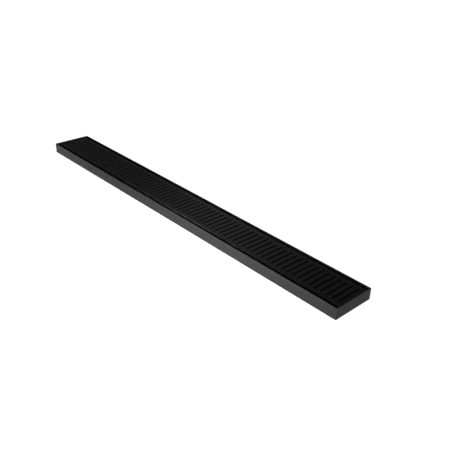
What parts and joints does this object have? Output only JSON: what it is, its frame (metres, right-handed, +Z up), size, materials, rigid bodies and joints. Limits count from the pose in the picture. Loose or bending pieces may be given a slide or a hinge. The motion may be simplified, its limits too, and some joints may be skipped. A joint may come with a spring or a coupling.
{
  "type": "channel drain",
  "caption": "Shallow linear drainage channel: an open rectangular tray with closed ends and a lift-out slotted grate that leaves a water gap along each long side.",
  "frame": {"origin": "middle of the tray's underside", "axes": "+X along the channel, +Y across it, +Z up out of the grate"},
  "size_m": [1, 0.1, 0.025],
  "materials": {
    "body_coating": "extruded aluminium, black powder coat, fine satin texture",
    "grate_coating": "extruded and milled aluminium, black powder coat, fine satin texture",
    "cap_plastic": "moulded black plastic, fine matt grain",
    "pad_rubber": "black EPDM rubber, matt"
  },
  "bodies": {
    "root": {"channel_body": "body_coating", "end_cap_left": "cap_plastic", "end_cap_right": "cap_plastic", "grate": "grate_coating", "foot_pad_front_1": "pad_rubber", "foot_pad_front_2": "pad_rubber", "foot_pad_front_3": "pad_rubber", "foot_pad_front_4": "pad_rubber", "foot_pad_front_5": "pad_rubber", "foot_pad_back_1": "pad_rubber", "foot_pad_back_2": "pad_rubber", "foot_pad_back_3": "pad_rubber", "foot_pad_back_4": "pad_rubber", "foot_pad_back_5": "pad_rubber"}
  },
  "joints": []
}
